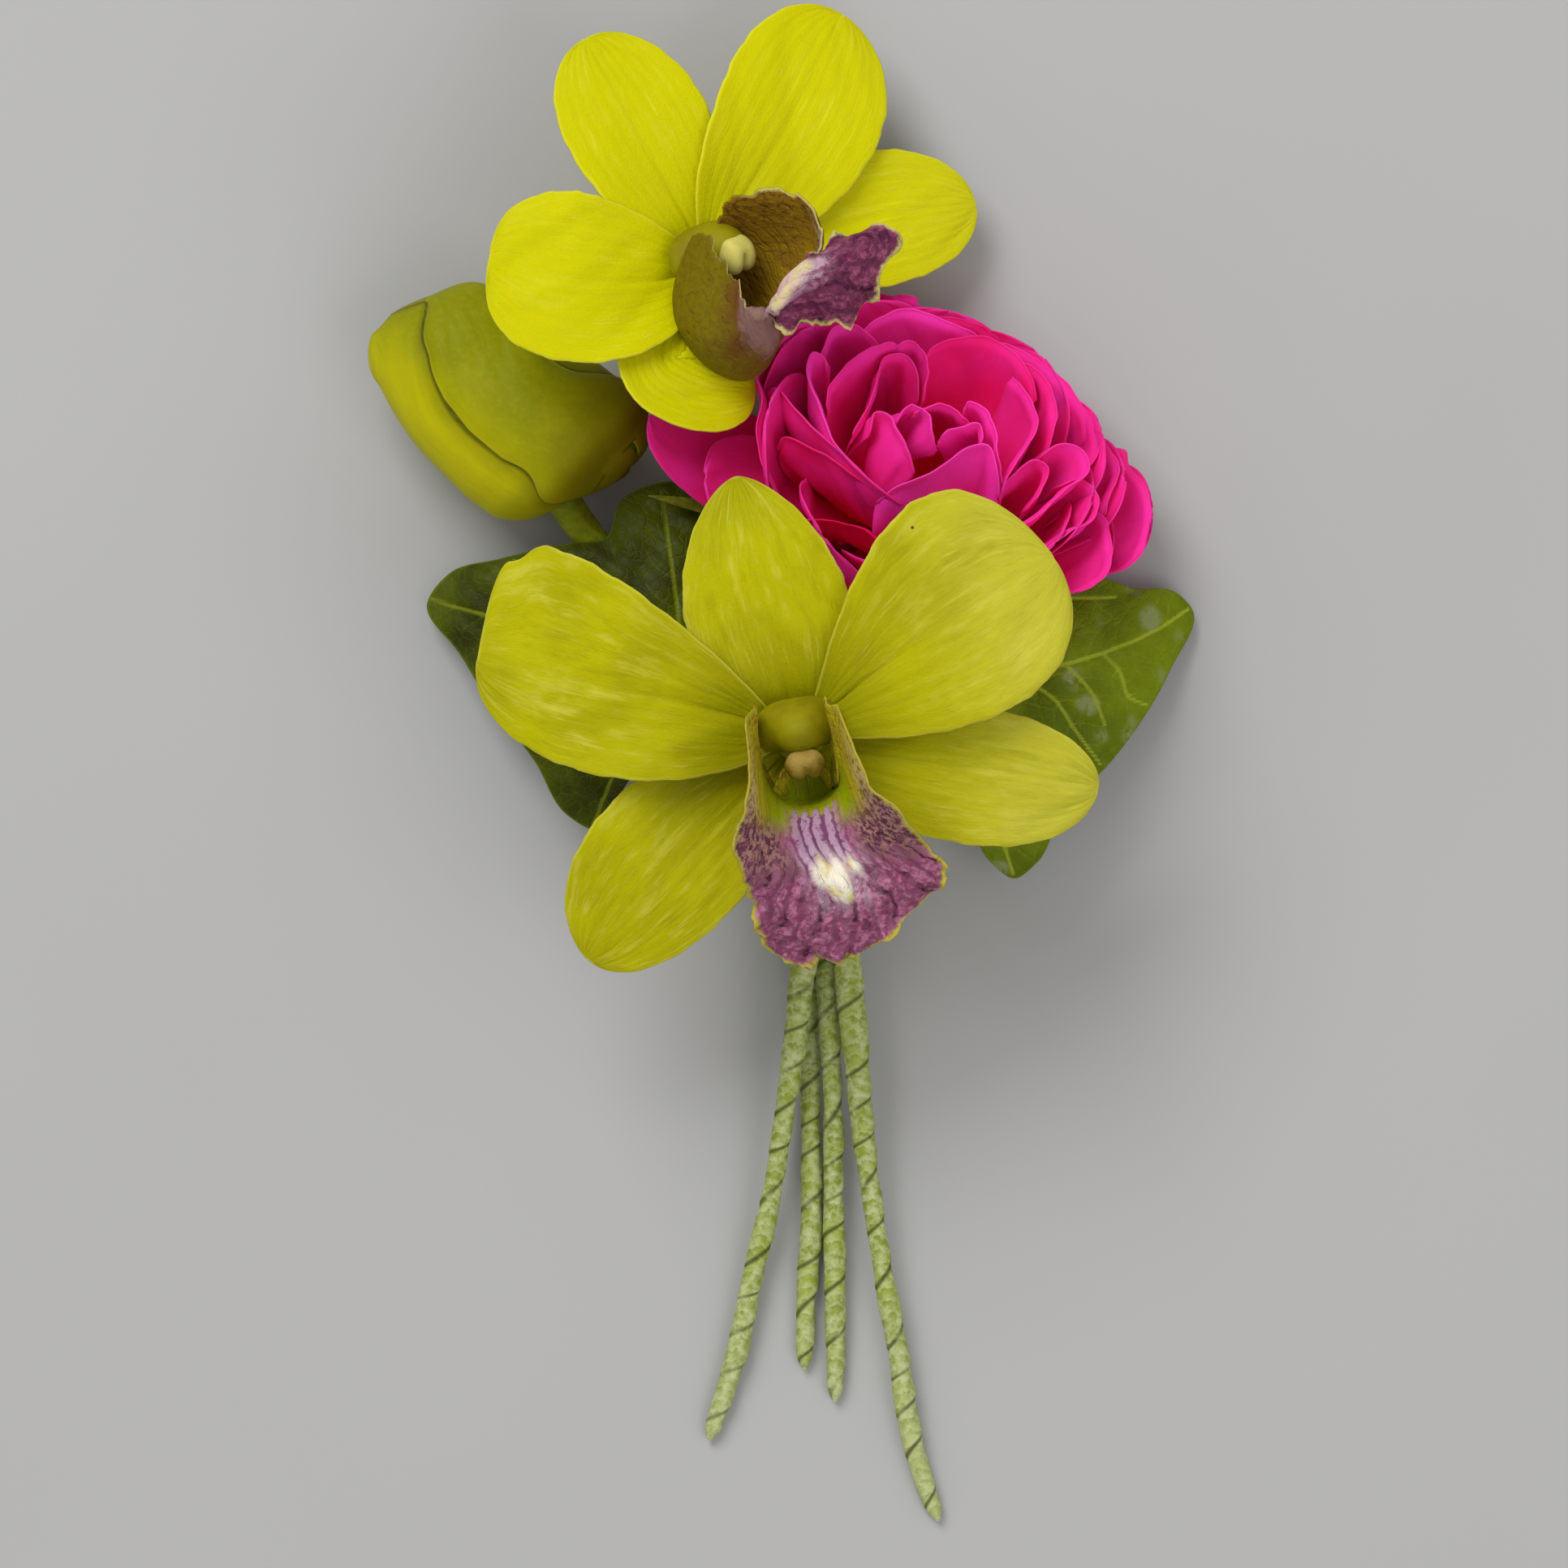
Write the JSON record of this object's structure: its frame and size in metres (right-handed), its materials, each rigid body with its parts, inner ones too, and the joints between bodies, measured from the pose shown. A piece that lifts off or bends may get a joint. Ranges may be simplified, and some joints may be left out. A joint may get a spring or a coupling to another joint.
{
  "type": "posy",
  "caption": "Small wired posy lying on its back: green orchid blooms with purple lips, an orchid bud, a pink rose and ivy leaves, on tape-wrapped stems bound together.",
  "frame": {"origin": "centre of the posy's outline on the surface that it lies on", "axes": "+Z up, out of the faces of the blooms; +Y from the cut stem ends to the uppermost bloom; +X to the right, seen from above with +Y up"},
  "size_m": [0.0918, 0.1714, 0.048],
  "materials": {
    "orchid_green": "waxy living petal, yellow-green with faint lengthwise veins",
    "lip_purple": "velvety living petal, mauve with darker veins and a yellow rim",
    "column_green": "waxy, yellow-green",
    "anther_cream": "smooth, cream",
    "bud_green": "waxy bud, olive green",
    "rose_pink": "soft living petal, hot pink to crimson in its folds",
    "calyx_green": "matt, olive green",
    "ivy_green": "glossy leaf, mid green with pale veins",
    "stem_tape": "waxed crepe paper tape, light olive green",
    "florist_wire": "dark green lacquered steel wire"
  },
  "bodies": {
    "root": {"stem_bud": "stem_tape", "stem_back_orchid": "stem_tape", "stem_rose": "stem_tape", "stem_front_orchid": "stem_tape", "wire_bud": "florist_wire", "wire_back_orchid": "florist_wire", "wire_rose": "florist_wire", "wire_front_orchid": "florist_wire", "binding_tape": "stem_tape", "front_orchid_sepals_and_petals": "orchid_green", "front_orchid_lip": "lip_purple", "front_orchid_column": "column_green", "front_orchid_anther_cap": "anther_cream", "back_orchid_sepals_and_petals": "orchid_green", "back_orchid_lip": "lip_purple", "back_orchid_column": "column_green", "back_orchid_anther_cap": "anther_cream", "orchid_bud": "bud_green", "rose_petals": "rose_pink", "rose_calyx": "calyx_green", "ivy_leaf_left": "ivy_green", "ivy_leaf_right": "ivy_green"}
  },
  "joints": []
}
